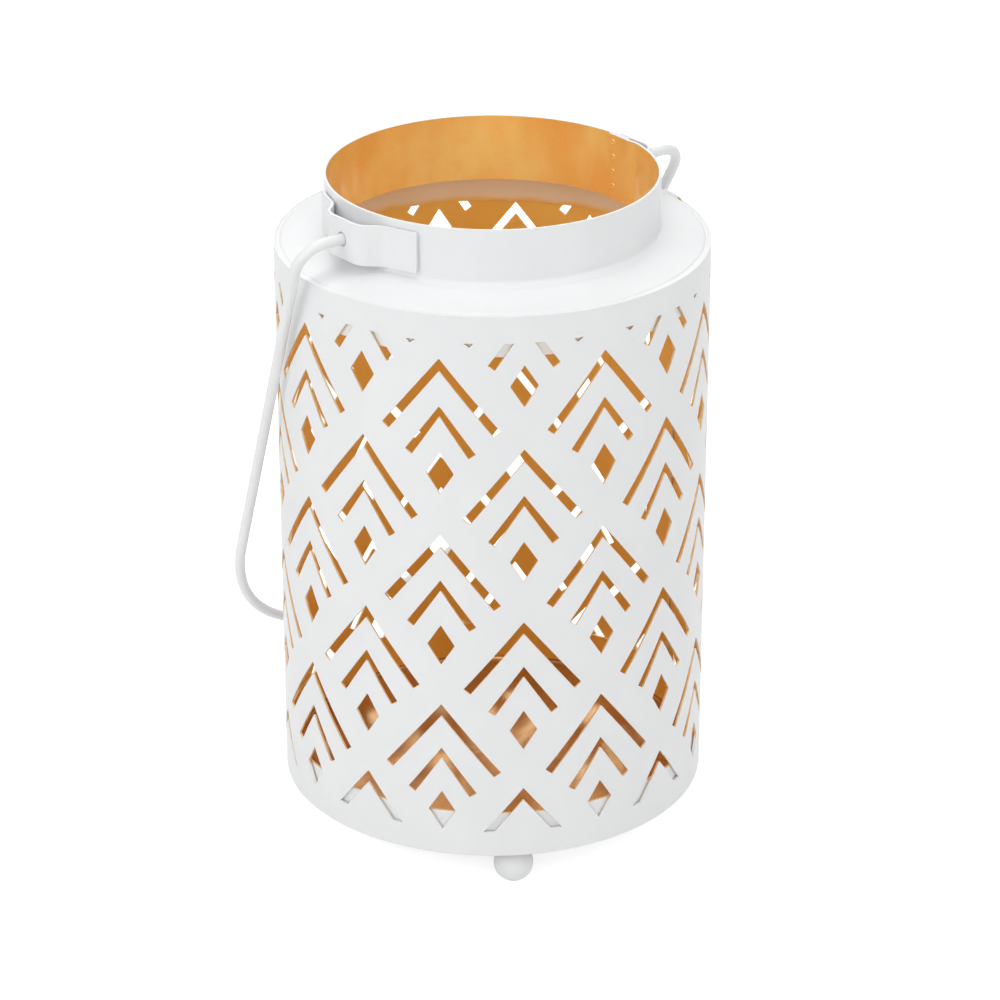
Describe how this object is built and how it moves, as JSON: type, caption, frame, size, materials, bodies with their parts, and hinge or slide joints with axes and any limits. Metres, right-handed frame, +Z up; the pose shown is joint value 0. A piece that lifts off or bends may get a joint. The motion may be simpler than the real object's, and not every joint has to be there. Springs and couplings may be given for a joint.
{
  "type": "metal candle lantern",
  "caption": "Round sheet-metal candle lantern with a cut-out chevron pattern, an open neck and a swinging wire bail.",
  "frame": {"origin": "on the lantern's axis at the top face of the base pan, the floor that the candle stands on; the feet stand 12.7 mm below it", "axes": "+Z up along the axis; X runs through both strap ears and is the bail's hinge direction; +Y is the side to which the bail hangs at rest"},
  "size_m": [0.1458, 0.1432, 0.2066],
  "materials": {
    "white_coat": "white powder coat outside, gold lacquer inside",
    "gold_lacquer": "satin gold lacquer above, white powder coat below"
  },
  "bodies": {
    "lantern": {"body_shell": "white_coat", "shoulder_ring": "white_coat", "neck_collar": "white_coat", "base_pan": "gold_lacquer", "foot_right": "white_coat", "foot_back_left": "white_coat", "foot_front_left": "white_coat", "ear_right": "white_coat", "ear_left": "white_coat"},
    "bail": {"bail_handle": "white_coat"}
  },
  "joints": [
    {"name": "bail_swing", "type": "hinge", "parent": "lantern", "child": "bail", "pos_m": [0, 0, 0.1855], "axis": [1, 0, 0], "range_deg": [0, 310]}
  ]
}
